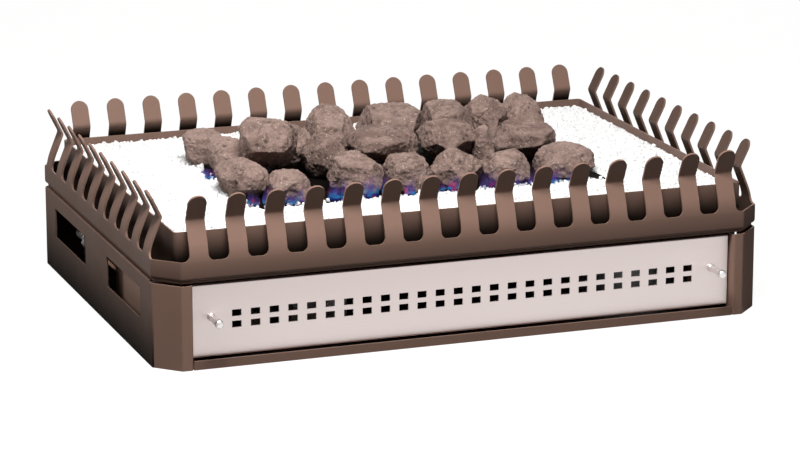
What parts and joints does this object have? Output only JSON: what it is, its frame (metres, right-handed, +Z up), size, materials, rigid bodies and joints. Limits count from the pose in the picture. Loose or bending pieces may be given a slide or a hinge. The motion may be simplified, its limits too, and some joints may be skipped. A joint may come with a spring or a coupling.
{
  "type": "gas coal fire tray",
  "caption": "Decorative gas coal fire for a fireplace: painted steel base with a slotted pull-off panel, fret of bent fingers, white granule bed, ceramic coals on a burner, tap and igniter.",
  "frame": {"origin": "middle of the base's underside, which it stands on, halfway between its sides and between its front and back faces", "axes": "+X to the right seen from the slotted panel, +Y from the panel to the back, +Z up"},
  "size_m": [0.6, 0.442, 0.1808],
  "materials": {
    "brown_paint": "satin brown stove paint",
    "black_paint": "matt black heat-proof paint",
    "brushed_steel": "brushed along its length",
    "chrome": "polished",
    "zinc_plate": "bright zinc plate",
    "brass": "turned",
    "copper": "drawn copper tube",
    "cast_alloy": "die cast, blasted",
    "black_plastic": "fine texture",
    "white_ceramic": "glazed",
    "white_plastic": "smooth",
    "granules": "loose coarse white granules",
    "coal_ceramic": "rough fired, brown-grey"
  },
  "bodies": {
    "basket": {"base_side_left": "brown_paint", "base_side_right": "brown_paint", "base_back": "brown_paint", "base_floor": "brown_paint", "bay_plate_left": "brown_paint", "bay_plate_right": "brown_paint", "deck_plate": "brown_paint", "fret_front": "brown_paint", "fret_back": "brown_paint", "fret_left": "brown_paint", "fret_right": "brown_paint", "burner_tray": "brown_paint", "front_rail": "black_paint", "burner_cover": "black_paint", "granule_bed": "granules", "control_bracket": "zinc_plate", "inlet_bracket": "zinc_plate", "inlet_fitting": "zinc_plate", "inlet_nut": "zinc_plate", "injector_bracket": "zinc_plate", "mixing_tube": "zinc_plate", "pilot_bracket": "zinc_plate", "injector": "brass", "pilot_burner": "brass", "inlet_pipe": "copper", "burner_pipe": "copper", "pilot_pipe": "copper", "thermocouple": "copper", "valve_body": "cast_alloy", "igniter_body": "black_plastic", "spark_electrode": "white_ceramic", "coal_01": "coal_ceramic", "coal_02": "coal_ceramic", "coal_03": "coal_ceramic", "coal_04": "coal_ceramic", "coal_05": "coal_ceramic", "coal_06": "coal_ceramic", "coal_07": "coal_ceramic", "coal_08": "coal_ceramic", "coal_09": "coal_ceramic", "coal_10": "coal_ceramic", "coal_11": "coal_ceramic", "coal_12": "coal_ceramic", "coal_13": "coal_ceramic", "coal_14": "coal_ceramic", "coal_15": "coal_ceramic", "coal_16": "coal_ceramic", "coal_17": "coal_ceramic", "coal_18": "coal_ceramic", "coal_19": "coal_ceramic", "coal_20": "coal_ceramic", "coal_21": "coal_ceramic"},
    "front_panel": {"front_panel": "brushed_steel", "pull_pin_left": "chrome", "pull_pin_right": "chrome"},
    "valve_plug": {"valve_plug": "brass"},
    "control_knob": {"control_knob": "black_plastic", "valve_spindle": "zinc_plate"},
    "igniter_button": {"igniter_button": "white_plastic"}
  },
  "joints": [
    {"name": "panel_pull", "type": "slide", "parent": "basket", "child": "front_panel", "axis": [0, -1, 0], "range_m": [0, 0.025]},
    {"name": "tap_turn", "type": "hinge", "parent": "basket", "child": "valve_plug", "pos_m": [-0.18, -0.13, 0.042], "axis": [0, -1, 0], "range_deg": [0, 170]},
    {"name": "tap_press", "type": "slide", "parent": "valve_plug", "child": "control_knob", "axis": [0, 1, 0], "range_m": [0, 0.003], "stiffness_N_per_m": 800, "springref_m": -0.003},
    {"name": "igniter_press", "type": "slide", "parent": "basket", "child": "igniter_button", "axis": [0, 1, 0], "range_m": [0, 0.006], "stiffness_N_per_m": 800, "springref_m": -0.003}
  ]
}
